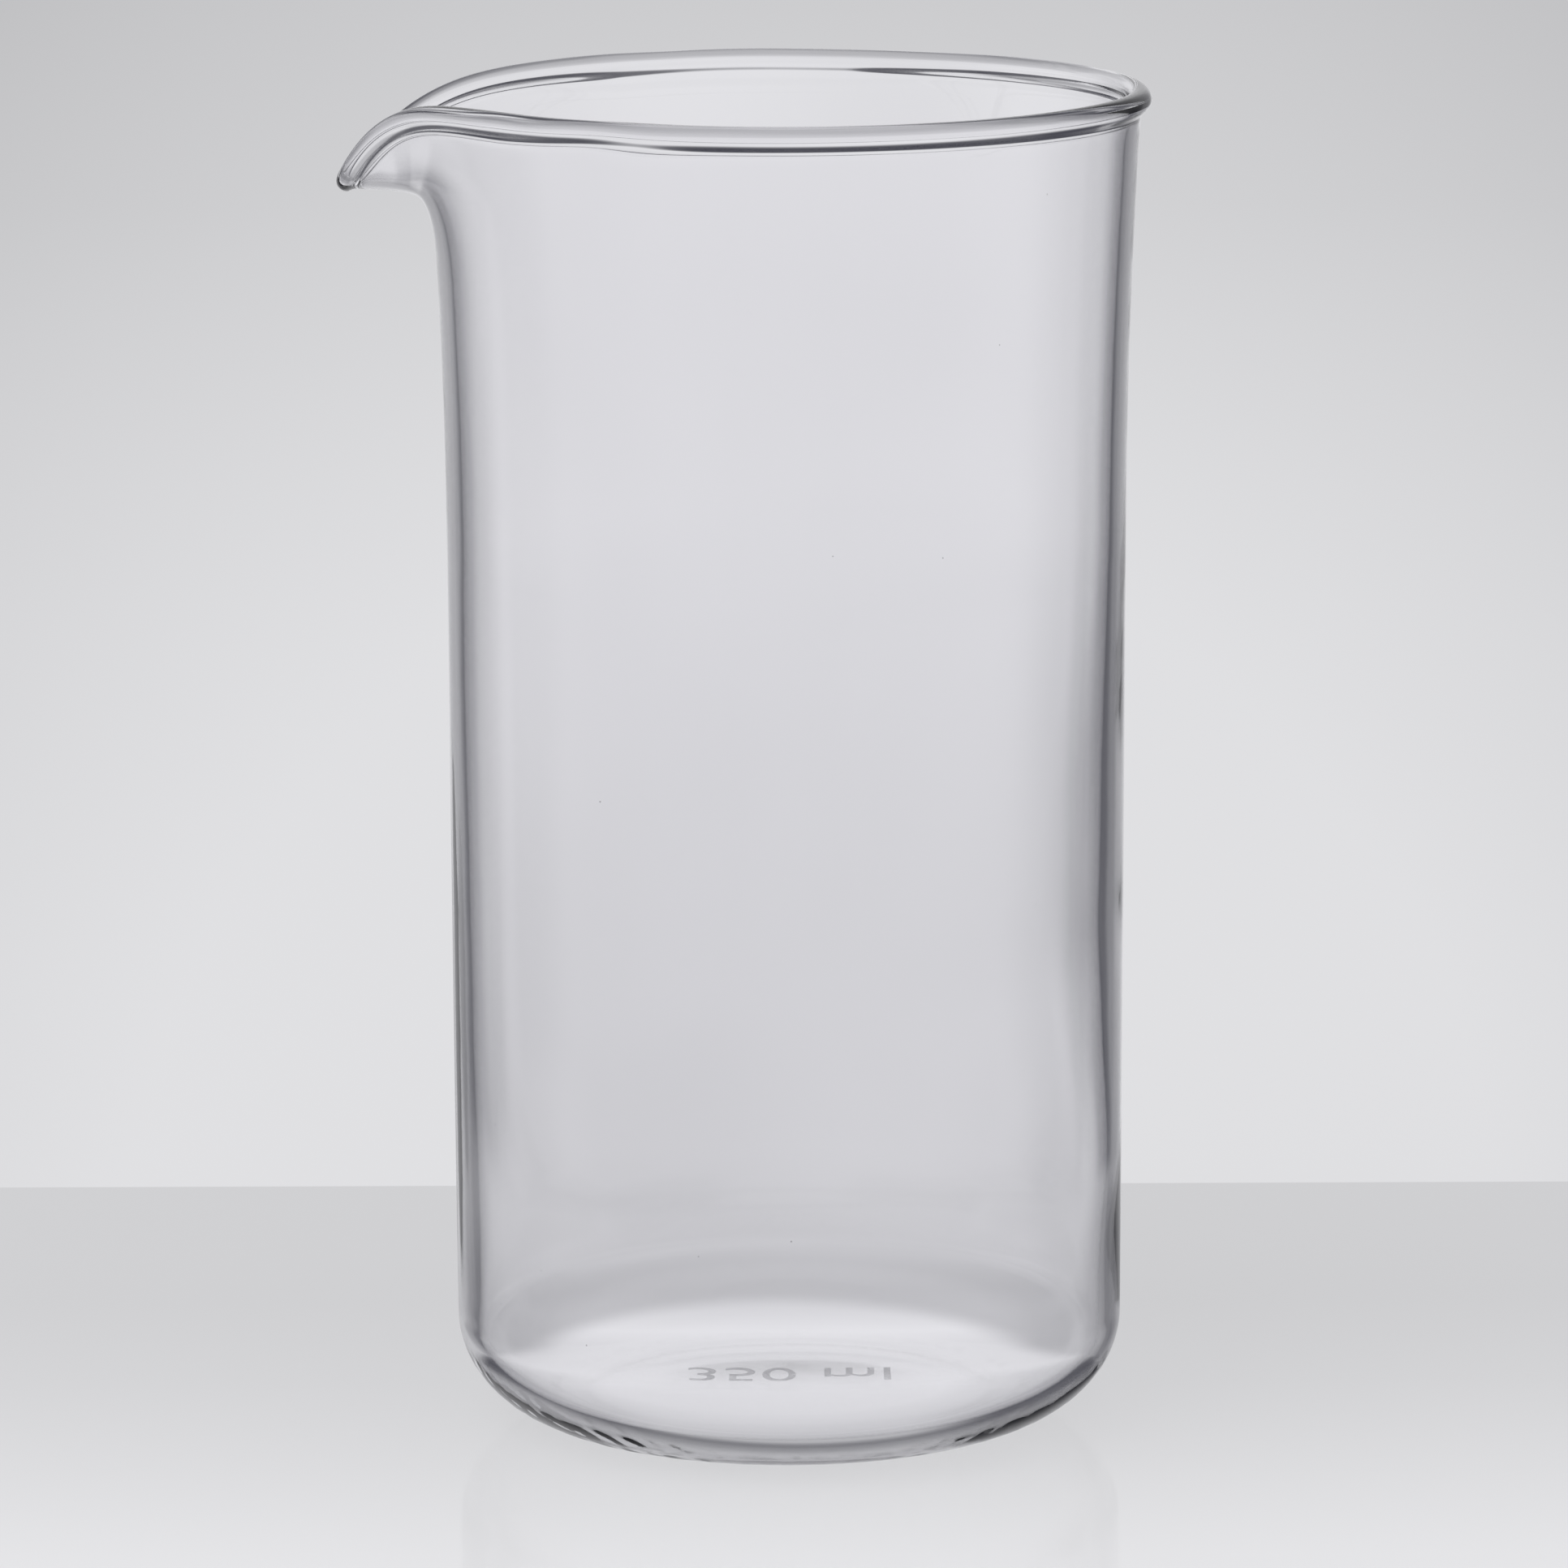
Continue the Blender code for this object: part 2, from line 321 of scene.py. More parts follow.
class BeakerShape(bpy.types.PropertyGroup):
    """Sizes of the glass."""

    height: length("Height", "From the underside to the top of the bead", 0.1395)
    body_radius: length("Body radius", "Outer radius of the wall at the foot", 0.0347)
    wall_lean: length("Wall lean", "How far the wall leans out from the foot to the shoulder", 0.0004)
    heel_width: length("Heel width", "Radial width of the outer rounded heel", 0.0132)
    heel_height: length("Heel height", "Height of the outer rounded heel", 0.0111)
    flare_length: length("Flare length", "Height over which the wall flares below the top", 0.0468)
    flare_out: length("Flare", "How far the flare leads the wall outwards", 0.00163)
    wall_at_foot: length("Wall at foot", "Thickness of the wall at the foot", 0.0021)
    wall_at_rim: length("Wall at rim", "Thickness of the wall under the bead", 0.0014)
    wall_at_spout: length("Wall at spout", "Thickness of the wall at the spout's tip", 0.0011)
    base_thickness: length("Base thickness", "Thickness of the flat base", 0.0020)
    inner_heel_width: length("Inner heel width", "Radial width of the inner rounded heel", 0.0120)
    inner_heel_height: length("Inner heel height", "Height of the inner rounded heel", 0.0086)
    base_dish: length("Base dish", "How far the middle of the underside is dished up", 0.00012)
    floor_sag: length("Floor sag", "How far the inside floor sinks towards its middle", 0.0002)
    bead_radius: length("Bead radius", "Radius of the bead round the rim", 0.00128)
    bead_proud: length("Bead proud", "How far the bead stands out from the wall", 0.00098)
    bead_radius_at_spout: length("Bead radius at spout", "Radius of the bead at the spout's tip", 0.00108)
    bead_proud_at_spout: length("Bead proud at spout", "How far the bead stands out at the tip", 0.00027)
    spout_reach: length("Spout reach", "How far the tip reaches past the rim", 0.0093)
    spout_drop: length("Spout drop", "How far the tip hangs below the rim", 0.00905)
    spout_root_depth: length("Spout root depth", "Depth below the rim where the spout starts", 0.0195)
    spout_swell: length("Spout swell", "How far the wall swells at the spout's root", 0.00015)
    reach_spread: angle("Reach spread", "Turn over which the reach fades out round the rim", 17.19)
    drop_spread: angle("Drop spread", "Turn over which the drop fades out round the rim", 6.53)
    wave: plain("Wave", "Amount of the small waves that blowing leaves in the glass", 1.0)


class GlassFinish(bpy.types.PropertyGroup):
    """Colours and finish of the glass and its mark."""

    tint: colour("Glass tint", "Colour of light that has passed through the glass", (0.9925, 0.990, 1.0))
    ior: plain("Refraction", "Refractive index of the glass", 1.47)
    smudge: share("Smudge", "Greatest roughness that handling leaves on the surface", 0.02)
    worn: share("Worn foot", "Greatest roughness of the scuffed ring round the foot", 0.15)
    ripple: share("Ripple", "Strength of the fine ripple in the surface", 0.02)
    mark: colour("Mark colour", "Colour of the frosted mark under the base", (0.66, 0.66, 0.68))
    mark_text: StringProperty(name="Mark", description="Plain capacity mark under the base", default="350 ml")
    mark_height: length("Mark height", "Height of the mark's figures", 0.0082)


class StudioStage(bpy.types.PropertyGroup):
    """Floor, backdrop and light."""

    backdrop: share("Backdrop", "Greatest brightness of the backdrop above the floor's far edge", 0.774)
    backdrop_far: share("Backdrop far", "Brightness of the backdrop at its top", 0.60)
    floor_depth: length("Floor depth", "Distance from the axis of the glass to the floor's far edge", 0.1045)
    glow: share("Glow", "Share of the floor's brightness that needs no lamp", 0.85)
    gloss: share("Gloss", "Share of the floor that mirrors the glass", 0.09)
    # Painted light: the lit disc is a bright patch painted on the floor that only the glass shows
    disc: share("Lit disc", "Brightness of the lit disc of floor that only the glass shows", 1.0)
    # Painted light: the card glows by itself and lights nothing; only the glass shows it
    card: share("Card", "Brightness of the lit card that stands low behind the glass", 0.765)
    # Painted shade: the flags are dark bands painted on the floor at its sides, seen only through the glass
    flag: share("Flags", "Brightness of the floor in front of the dark flags", 0.13)
    panel: share("Panels", "Brightness of the lit panels beside and behind the camera", 0.82)
    world: share("World", "Brightness of the even light from all round", 0.75)
    floor_tint: colour("Floor tint", "Cast of the floor and the backdrop", (1.0, 1.0, 1.02))
    light_tint: colour("Light tint", "Cast of the light that comes through the glass", (1.0, 1.0, 1.008))
    veil: colour("Veil", "Faint light added to all that the glass shows", (0.0, 0.0, 0.015))


class PhotoCamera(bpy.types.PropertyGroup):
    """Where the camera stands."""

    azimuth: angle("Azimuth", "Turn of the camera round the glass from straight in front", 8.107)
    distance: length("Distance", "Level distance from the axis of the glass", 0.94113)
    height: length("Height", "Height above the floor", 0.242996)
    aside: length("Aside", "How far the camera stands to the left of the axis", 0.0003424)
    pitch: angle("Pitch", "How far the camera looks down", 10.605)
    roll: angle("Roll", "How far the camera leans over", 0.2235)
    lens: plain("Lens", "Focal length in millimetres on a 36 mm sensor", 211.61)


def blend(start, end, part):
    """The value that lies this part of the way from start to end."""
    return start + (end - start) * part


def unit(vectors):
    """Vectors scaled to length 1."""
    return vectors / np.linalg.norm(vectors, axis=-1, keepdims=True)


def hump(values, centre, spread):
    """1 at the centre, falling off to both sides as the square of the distance in an exponent."""
    return np.exp(-(((values - centre) / spread) ** 2))


def turn_hump(turns, centre, spread):
    """A hump round the axis, the same after a whole turn."""
    away = np.angle(np.exp(1j * (turns - centre)))
    return np.exp(-((away / spread) ** 2))


def rounded_peak(turns, spread, power, rounding):
    """1 on the spout's axis, falling off round the rim from a rounded top: exp(-(d^p - r^p) / s^p)."""
    away = np.hypot(turns, rounding) ** power - rounding**power
    return np.exp(-away / spread**power)


def waves(turns, height, kinds):
    """Sum of waves round the axis that climb with the height: size sin(count turn + climb height + phase)."""
    return sum(size * np.sin(count * turns + climb * height + phase) for size, count, climb, phase in kinds)


def swells(turns, height, kinds):
    """A sum of humps on the wall: size times a hump over the heights and a hump over the turns."""
    return sum(
        size * hump(height, level, tall) * turn_hump(turns, turn, wide)
        for size, level, tall, turn, wide in kinds
    )


class GlassSurface:
    """The surface of the glass, by the turn from the spout's axis and a share along its section."""

    def __init__(self, shape):
        self.shape = shape
        self.shoulder_radius = shape.body_radius + shape.wall_lean
        self.shoulder_z = shape.height - shape.flare_length
        self.root_z = shape.height - shape.spout_root_depth
        self.bead_z = shape.height - shape.bead_radius

    def around(self, turns, radius, height):
        """Points at a turn, radius and height: (-r cos a, -r sin a, z)."""
        turns, radius, height = np.broadcast_arrays(turns, radius, height)
        return np.stack((-radius * np.cos(turns), -radius * np.sin(turns), height), axis=-1)

    def reach(self, turns):
        """Share of the spout's reach that the rim has at each turn."""
        return rounded_peak(turns, self.shape.reach_spread, REACH_POWER, REACH_ROUNDING)

    def drop(self, turns):
        """Share of the spout's drop that the rim has at each turn."""
        return rounded_peak(turns, self.shape.drop_spread, DROP_POWER, DROP_ROUNDING)

    def wall_thickness(self, height):
        """Thickness of the plain wall, which thins evenly from the foot to the rim."""
        part = (height - self.shape.heel_height) / (self.shape.height - self.shape.heel_height)
        return blend(self.shape.wall_at_foot, self.shape.wall_at_rim, part)

    def flare_radius(self, height):
        """Outer radius above the shoulder: a parabola that leaves the wall without a step."""
        part = (height - self.shoulder_z) / self.shape.flare_length
        return self.shoulder_radius + self.shape.flare_out * part**2

    def shoulder_middle(self, turns, part):
        """Middle of the wall from the shoulder to the spout's root."""
        height = blend(self.shoulder_z, self.root_z, part)
        middle = self.flare_radius(height) - self.wall_thickness(height) / 2
        return self.around(turns, middle + self.shape.spout_swell * self.reach(turns) * part**2, height)

    def rim_rise(self, turns):
        """How far the uneven rim rises above a level circle."""
        rise = THIN_RISE * turn_hump(turns, *RIM_THIN) + RAISED_RISE * turn_hump(turns, *RIM_RAISED)
        return self.shape.wave * (rise + WAVE_RISE * waves(turns, 0.0, RIM_WAVES))

    def rim_scale(self, turns):
        """Thickness of the bead against an even one: drawn thin and gathered thick beside the spout."""
        thick = sum(turn_hump(turns, *place) for place in RIM_THICK)
        swelling = THICK_SWELLING * thick + WAVE_SWELLING * waves(turns, 0.0, RIM_WAVES)
        return 1 + self.shape.wave * (swelling - THIN_NARROWING * turn_hump(turns, *RIM_THIN))

    def rim_standing(self, turns):
        """Share of its standing out that the bead keeps where it was drawn thin."""
        return 1 - self.shape.wave * THIN_SINKING * turn_hump(turns, *RIM_THIN)

    def bead_centre(self, turns):
        """Centre of the bead: a level circle that the spout draws out and down."""
        radius = self.flare_radius(self.bead_z) + self.shape.bead_proud - self.shape.bead_radius
        radius = radius + self.shape.spout_reach * self.reach(turns)
        height = self.bead_z + self.rim_rise(turns) - self.shape.spout_drop * self.drop(turns)
        return self.around(turns, radius, height)

    def bead_size(self, turns):
        """Radius of the bead, which thins where the spout stretches it."""
        size = blend(self.shape.bead_radius, self.shape.bead_radius_at_spout, self.reach(turns))
        return size * self.rim_scale(turns)

    def lip_thickness(self, turns):
        """Thickness of the wall just under the bead."""
        return blend(self.shape.wall_at_rim, self.shape.wall_at_spout, self.reach(turns))

    def lip_corner(self, turns):
        """Where the wall's line up from the spout's root meets its line in from the bead."""
        root = self.shoulder_middle(turns, 1.0)
        up = unit(root - self.shoulder_middle(turns, 1.0 - SMALL_STEP))
        tip_floor = self.bead_z - self.shape.spout_drop - self.shape.bead_radius_at_spout
        channel_floor = tip_floor + self.shape.bead_proud_at_spout + self.shape.wall_at_spout / 2
        height = blend((self.root_z + self.bead_z) / 2, channel_floor, self.reach(turns))
        return root + up * ((height - root[..., 2]) / up[..., 2])[..., None]

    def lip_frame(self, turns):
        """The bead's centre with unit vectors out of the wall and up along it, square to the bead's line."""
        centre = self.bead_centre(turns)
        along = self.bead_centre(turns + SMALL_STEP) - self.bead_centre(turns - SMALL_STEP)
        outward = unit(np.cross(along, centre - self.lip_corner(turns)))
        return centre, outward, unit(np.cross(outward, along))

    def lip_middle(self, turns, part):
        """Middle of the wall from the spout's root to the bead: a cubic curve pulled to the lip's corner."""
        centre, outward, upward = self.lip_frame(turns)
        reach = self.reach(turns)
        size = self.bead_size(turns)
        proud = blend(self.shape.bead_proud, self.shape.bead_proud_at_spout, reach) * self.rim_standing(turns)
        offset = self.lip_thickness(turns) / 2 + proud - size
        root = self.shoulder_middle(turns, 1.0)
        end = centre - outward * offset[..., None] - upward * (BEAD_FOOT * size)[..., None]
        corner = self.lip_corner(turns)
        pull = blend(FLARE_PULL, SPOUT_PULL, reach)[..., None]
        near_root = blend(root, corner, pull)
        near_end = blend(end, corner, pull)
        part = np.asarray(part)[..., None]
        rest = 1.0 - part
        return (
            root * rest**3
            + near_root * (3 * rest**2 * part)
            + near_end * (3 * rest * part**2)
            + end * part**3
        )

    def face(self, middle, turns, part, offset):
        """A face of the wall: its middle moved by an offset along the cross product of its two slopes."""
        above = middle(turns, np.minimum(part + SMALL_STEP, 1.0))
        below = middle(turns, np.maximum(part - SMALL_STEP, 0.0))
        along = middle(turns + SMALL_STEP, part) - middle(turns - SMALL_STEP, part)
        return middle(turns, part) + unit(np.cross(along, above - below)) * offset[..., None]

    def shoulder(self, turns, part, side):
        """Outer (side 1) or inner (side -1) face from the shoulder to the spout's root."""
        thickness = self.wall_thickness(blend(self.shoulder_z, self.root_z, part)) + 0 * turns
        return self.face(self.shoulder_middle, turns, part, side * thickness / 2)

    def lip(self, turns, part, side):
        """Outer (side 1) or inner (side -1) face from the spout's root to the bead."""
        thickness = blend(self.wall_thickness(self.root_z), self.lip_thickness(turns), part)
        return self.face(self.lip_middle, turns, part, side * thickness / 2)

    def bead(self, turns, part):
        """The bead's round section from the outer face, over the top, to the inner face."""
        centre, outward, upward = self.lip_frame(turns)
        turn = blend(BEAD_FROM, BEAD_TO, part)[..., None]
        size = self.bead_size(turns)[..., None]
        return centre + (outward * np.cos(turn) + upward * np.sin(turn)) * size

    def outer_heel(self, turns, part):
        """Quarter ellipse from the flat underside up to the wall, with fine uneven ridges above the foot."""
        bend = part * math.pi / 2
        radius = self.shape.body_radius - self.shape.heel_width * (1 - np.sin(bend))
        height = self.shape.heel_height * (1 - np.cos(bend))
        ridges = self.shape.wave * self.foot_ridges(turns, part)
        return self.around(turns, radius + ridges * np.sin(bend), height - ridges * np.cos(bend))

    def foot_ridges(self, turns, part):
        """Short irregular ridges along the foot: sums of waves round the axis that slant with the height."""
        draws = np.random.default_rng(RIDGE_SEED)
        wander = 0 * turns
        rough = 0 * turns
        for _ in range(RIDGE_WAVES):
            count = draws.integers(*RIDGE_COUNTS)
            phase = draws.uniform(0, 2 * math.pi)
            slant = draws.uniform(-RIDGE_SLANT, RIDGE_SLANT)
            wander = wander + np.sin(count * turns + phase)
            rough = rough + np.sin(RIDGE_FINER * count * turns + slant * part * math.pi - phase)
        front = np.maximum(np.cos(turns - RIDGE_FRONT), RIDGE_LEAST_FRONT)
        middle = np.arctan(RIDGE_SLOPE / front) * 2 / math.pi + RIDGE_LIFT + RIDGE_WANDER * wander
        strength = RIDGE_WEAK + RIDGE_STRONG * turn_hump(turns, *RIDGE_STRONG_PLACE)
        return RIDGE_HEIGHT * strength * hump(part, middle, RIDGE_WIDTH) * (1 + RIDGE_ROUGH * rough)

    def inner_heel(self, turns, part):
        """Quarter ellipse from the inner wall down to the floor."""
        bend = part * math.pi / 2
        foot = self.shape.body_radius - self.shape.wall_at_foot
        radius = foot - self.shape.inner_heel_width * (1 - np.cos(bend))
        height = self.shape.base_thickness + self.shape.inner_heel_height * (1 - np.sin(bend))
        return self.around(turns, radius, height)

    def underside(self, turns, part):
        """Underside from its middle to the heel, dished up by a little in the middle."""
        radius = (self.shape.body_radius - self.shape.heel_width) * part
        return self.around(turns, radius, self.shape.base_dish * (1 - part**2) ** 2)

    def floor(self, turns, part):
        """Inside floor from the inner heel to its middle, with faint rings left by the spinning glass."""
        edge = self.shape.body_radius - self.shape.wall_at_foot - self.shape.inner_heel_width
        rings = FLOOR_RING_SIZE * np.sin(FLOOR_RING_PACE * part) * (1 - part) * self.shape.wave
        dish = (self.shape.base_dish - self.shape.floor_sag) * (1 - (1 - part) ** 2) ** 2
        return self.around(turns, edge * (1 - part), self.shape.base_thickness + dish + rings * part)

    def outer_wave(self, turns, height):
        """How far the outer wall stands out: slight waves, a drawn ridge under the spout and one opposite."""
        return self.shape.wave * (waves(turns, height, OUTER_WAVES) + swells(turns, height, OUTER_SWELLS))

    def inner_wave(self, turns, height):
        """How far the inner wall stands out, which makes the blown wall thinner than its even taper."""
        return -self.shape.wave * (swells(turns, height, INNER_SWELLS) + waves(turns, height, INNER_WAVES))

    def wall(self, turns, start, end, count, wave):
        """Rows between two edges of the wall, moved out by a wave that fades out at both edges."""
        part = rows_of(count, 1)[:-1, :, None]
        rows = blend(start, end, part)
        moved = wave(turns, rows[..., 2])[..., None] * np.sqrt(np.sin(np.pi * part))
        return rows + self.around(turns, 1.0, 0.0) * moved


def rows_of(count, first=0):
    """Shares from first / count to 1 in even steps, as a column."""
    return (np.arange(first, count + 1) / count)[:, None]


def ring_turns():
    """Turns once round the axis, closest together at the spout."""
    part = 2 * np.arange(POINTS_ROUND) / POINTS_ROUND - 1
    return math.pi * np.sinh(SPOUT_CROWDING * part) / math.sinh(SPOUT_CROWDING)


def smooth_rows(rows, where, reach, passes):
    """Rounds the section at a row by averaging each near row with its two neighbours a few times."""
    low, high = where - reach, where + reach
    for _ in range(passes):
        rows[low:high] = (rows[low - 1 : high - 1] + 2 * rows[low:high] + rows[low + 1 : high + 1]) / 4


def glass_rows(surface):
    """All rows of the glass in order: underside, heel, wall, flare, bead, and down inside to the floor."""
    turns = ring_turns()[None, :]
    outer_heel = surface.outer_heel(turns, rows_of(OUTER_HEEL_ROWS))
    outer_shoulder = surface.shoulder(turns, rows_of(SHOULDER_ROWS), 1)
    inner_heel = surface.inner_heel(turns, rows_of(INNER_HEEL_ROWS))
    inner_shoulder = surface.shoulder(turns, rows_of(SHOULDER_ROWS), -1)[::-1]
    lip_parts = 1 - (1 - rows_of(LIP_ROWS, 1)) ** LIP_CROWDING
    to_bead = [
        surface.underside(turns, rows_of(BASE_ROWS, 1)[:-1]),
        outer_heel,
        surface.wall(turns, outer_heel[-1], outer_shoulder[0], OUTER_WALL_ROWS, surface.outer_wave),
        outer_shoulder,
        surface.lip(turns, lip_parts, 1),
    ]
    bead = surface.bead(turns, rows_of(BEAD_ROWS))
    from_bead = [
        surface.lip(turns, lip_parts, -1)[::-1],
        inner_shoulder,
        surface.wall(turns, inner_shoulder[-1], inner_heel[0], INNER_WALL_ROWS, surface.inner_wave),
        inner_heel,
        surface.floor(turns, rows_of(BASE_ROWS, 1)[:-1]),
    ]
    rows = np.concatenate([*to_bead, bead, *from_bead])
    soft = rows.copy()
    outer_foot = sum(len(stretch) for stretch in to_bead)
    for foot, fillet in ((outer_foot, OUTER_FILLET), (outer_foot + len(bead), INNER_FILLET)):
        smooth_rows(rows, foot, *fillet)
        smooth_rows(soft, foot, *SOFT_FILLET)
    near = NEAR_SOFT_SHARE * turn_hump(turns, *NEAR_SOFT)
    far = np.minimum(FAR_SOFT_SHARE * turn_hump(turns, *FAR_SOFT), 1.0)
    return blend(rows, soft, (near + far)[..., None])


def closed_mesh(name, rows, low_pole, high_pole):
    """A closed mesh from rows of points round an axis, with a pole at each end."""
    count, around = rows.shape[:2]
    points = np.concatenate(([low_pole], rows.reshape(-1, 3), [high_pole]))
    index = 1 + np.arange(count * around).reshape(count, around)
    after = np.roll(index, -1, axis=1)
    quads = np.stack((index[:-1], after[:-1], after[1:], index[1:]), axis=-1).reshape(-1, 4)
    low_fan = np.stack((np.zeros(around, int), after[0], index[0]), axis=-1)
    high_fan = np.stack((index[-1], after[-1], np.full(around, len(points) - 1)), axis=-1)
    mesh = bpy.data.meshes.new(name)
    mesh.from_pydata(points.tolist(), [], low_fan.tolist() + quads.tolist() + high_fan.tolist())
    mesh.update()
    mesh.shade_smooth()
    return mesh


def flat_text(words, height, thickness):
    """Words as a thin closed mesh in the XY plane, about the origin."""
    curve = bpy.data.curves.new("words", "FONT")
    curve.body = words
    curve.size = height
    curve.extrude = thickness / 2
    curve.align_x = "CENTER"
    curve.align_y = "CENTER"
    curve.resolution_u = MARK_CURVE_STEPS
    lettering = bpy.data.objects.new("words", curve)
    bpy.context.scene.collection.objects.link(lettering)
    evaluated = lettering.evaluated_get(bpy.context.evaluated_depsgraph_get())
    mesh = bpy.data.meshes.new_from_object(evaluated)
    bpy.data.objects.remove(lettering, do_unlink=True)
    bpy.data.curves.remove(curve)
    welded = bmesh.new()
    welded.from_mesh(mesh)
    bmesh.ops.remove_doubles(welded, verts=welded.verts, dist=MARK_WELD)
    bmesh.ops.recalc_face_normals(welded, faces=welded.faces)
    welded.to_mesh(mesh)
    welded.free()
    return mesh


def add_piece(name, mesh, material):
    """Links a finished mesh as a piece of the object that rides on its body."""
    mesh.materials.append(material)
    piece = bpy.data.objects.new(name, mesh)
    bpy.context.scene.collection.objects.link(piece)
    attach(piece, BODY)
    return piece


def add_plane(name, corners, material):
    """Links a flat four-cornered piece of the stage."""
    mesh = bpy.data.meshes.new(name)
    mesh.from_pydata(corners, [], [(0, 1, 2, 3)])
    mesh.materials.append(material)
    plane = bpy.data.objects.new(name, mesh)
    bpy.context.scene.collection.objects.link(plane)
    return plane


def feed(tree, socket, value):
    """Links a socket to another one, or sets it to a plain value."""
    if isinstance(value, bpy.types.NodeSocket):
        tree.links.new(value, socket)
    else:
        socket.default_value = value


def make(tree, kind, inputs=None, **settings):
    """Adds a node with its settings and feeds its inputs by name or number."""
    node = tree.nodes.new(kind)
    for name, value in settings.items():
        setattr(node, name, value)
    for name, value in (inputs or {}).items():
        feed(tree, node.inputs[name], value)
    return node


def calculate(tree, operation, *values):
    """The result of a Math node."""
    return make(tree, "ShaderNodeMath", dict(enumerate(values)), operation=operation).outputs[0]


def product(tree, result, *others):
    """The product of two or more values."""
    for value in others:
        result = calculate(tree, "MULTIPLY", result, value)
    return result


def remap(tree, value, start, end, low=0.0, high=1.0):
    """A value eased from low to high while it goes from start to end."""
    inputs = {"Value": value, "From Min": start, "From Max": end, "To Min": low, "To Max": high}
    return make(tree, "ShaderNodeMapRange", inputs, interpolation_type="SMOOTHSTEP").outputs["Result"]


def mix(tree, factor, low, high):
    """Low where the factor is 0 and high where it is 1."""
    return calculate(tree, "MULTIPLY_ADD", factor, calculate(tree, "SUBTRACT", high, low), low)


def distance(tree, x, y):
    """The level distance that two parts of a place give."""
    return calculate(tree, "SQRT", calculate(tree, "MULTIPLY_ADD", x, x, product(tree, y, y)))


def tinted(tree, value, cast, veil=(0.0, 0.0, 0.0)):
    """A colour from a value and a cast, with a faint veil added."""
    grey = make(tree, "ShaderNodeCombineColor", {0: value, 1: value, 2: value}).outputs[0]
    inputs = {0: tuple(cast), 1: grey, 2: tuple(veil)}
    return make(tree, "ShaderNodeVectorMath", inputs, operation="MULTIPLY_ADD").outputs[0]


def noise(tree, place, scale, detail=2.0):
    """Noise by place, with about scale lumps to the metre."""
    inputs = {"Vector": place, "Scale": scale, "Detail": detail}
    return make(tree, "ShaderNodeTexNoise", inputs).outputs["Fac"]


def patches(tree, place, kind, low, high):
    """Soft patches from low to high: noise of a kind, eased from its start to its end."""
    scale, detail, start, end = kind
    return remap(tree, noise(tree, place, scale, detail), start, end, low, high)


def tone_ramp(tree, value, stops):
    """Tones along a value, from a ramp of (value, tone) stops."""
    first, last = stops[0][0], stops[-1][0]
    ramp = make(tree, "ShaderNodeValToRGB")
    along = calculate(tree, "SUBTRACT", value, first)
    feed(tree, ramp.inputs[0], calculate(tree, "DIVIDE", along, last - first))
    elements = ramp.color_ramp.elements
    while len(elements) < len(stops):
        elements.new(0.5)
    for element, (place, tone) in zip(elements, stops):
        element.position = (place - first) / (last - first)
        element.color = (tone, tone, tone, 1.0)
    return calculate(tree, "ADD", ramp.outputs["Color"], 0.0)


def object_place(tree):
    """The place on the object that is being shaded."""
    return make(tree, "ShaderNodeTexCoord").outputs["Object"]


def parts_of(tree, place):
    """The three parts of a place or direction."""
    return make(tree, "ShaderNodeSeparateXYZ", {0: place}).outputs


def photo_parts(tree, place, azimuth):
    """The three parts of a place or direction, turned so that Y runs away from the camera."""
    inputs = {"Vector": place, "Angle": -azimuth}
    return parts_of(tree, make(tree, "ShaderNodeVectorRotate", inputs, rotation_type="Z_AXIS").outputs[0])


def light_path(tree):
    """What is known of the ray that is being shaded."""
    return make(tree, "ShaderNodeLightPath").outputs


def seen_by_glass(tree, path):
    """Whether a ray has been reflected or refracted on its way."""
    return calculate(tree, "MAXIMUM", path["Is Glossy Ray"], path["Is Transmission Ray"])


def mix_shaders(tree, factor, low, high):
    """The low shader where the factor is 0 and the high one where it is 1."""
    return make(tree, "ShaderNodeMixShader", {0: factor, 1: low, 2: high}).outputs[0]


def new_material(name):
    """A material with its node tree and its Principled shader."""
    material = bpy.data.materials.new(name)
    material.use_nodes = True
    tree = material.node_tree
    return material, tree, tree.nodes["Principled BSDF"]


def stage_material(name):
    """A material with its node tree and the socket that takes its own mix of shaders."""
    material, tree, shader = new_material(name)
    tree.nodes.remove(shader)
    return material, tree, tree.nodes["Material Output"].inputs["Surface"]


def glass_material(finish):
    """Clear glass: a faint cool tint with dust specks, handling smudges, a scuffed foot and a fine ripple."""
    material, tree, shader = new_material("blown_clear_glass")
    place = object_place(tree)
    specks = make(tree, "ShaderNodeTexVoronoi", {"Vector": place, "Scale": SPECK_SCALE}).outputs["Distance"]
    clean = remap(tree, specks, *SPECK_EDGE, SPECK_TONE, 1.0)
    cloud = product(tree, clean, patches(tree, place, CLOUD_NOISE, CLOUD_LEAST, 1.0))
    feed(tree, shader.inputs["Base Color"], tinted(tree, cloud, finish.tint))
    x, y, z = parts_of(tree, place)
    low_down = remap(tree, z, *FOOT_WORN_UP, 1.0, 0.0)
    far_out = remap(tree, distance(tree, x, y), *FOOT_WORN_OUT)
    worn = product(tree, low_down, far_out, patches(tree, place, SCUFF_NOISE, SCUFF_LEAST, finish.worn))
    smudge = patches(tree, place, SMUDGE_NOISE, 0.0, finish.smudge)
    feed(tree, shader.inputs["Roughness"], calculate(tree, "MAXIMUM", smudge, worn))
    broad, fine = (noise(tree, place, scale) for scale in RIPPLE_SCALES)
    ripple = calculate(tree, "ADD", broad, product(tree, fine, RIPPLE_FINE))
    inputs = {"Height": ripple, "Strength": finish.ripple, "Distance": RIPPLE_DEPTH}
    feed(tree, shader.inputs["Normal"], make(tree, "ShaderNodeBump", inputs).outputs[0])
    shader.inputs["Metallic"].default_value = 0.0
    shader.inputs["IOR"].default_value = finish.ior
    shader.inputs["Transmission Weight"].default_value = 1.0
    return material


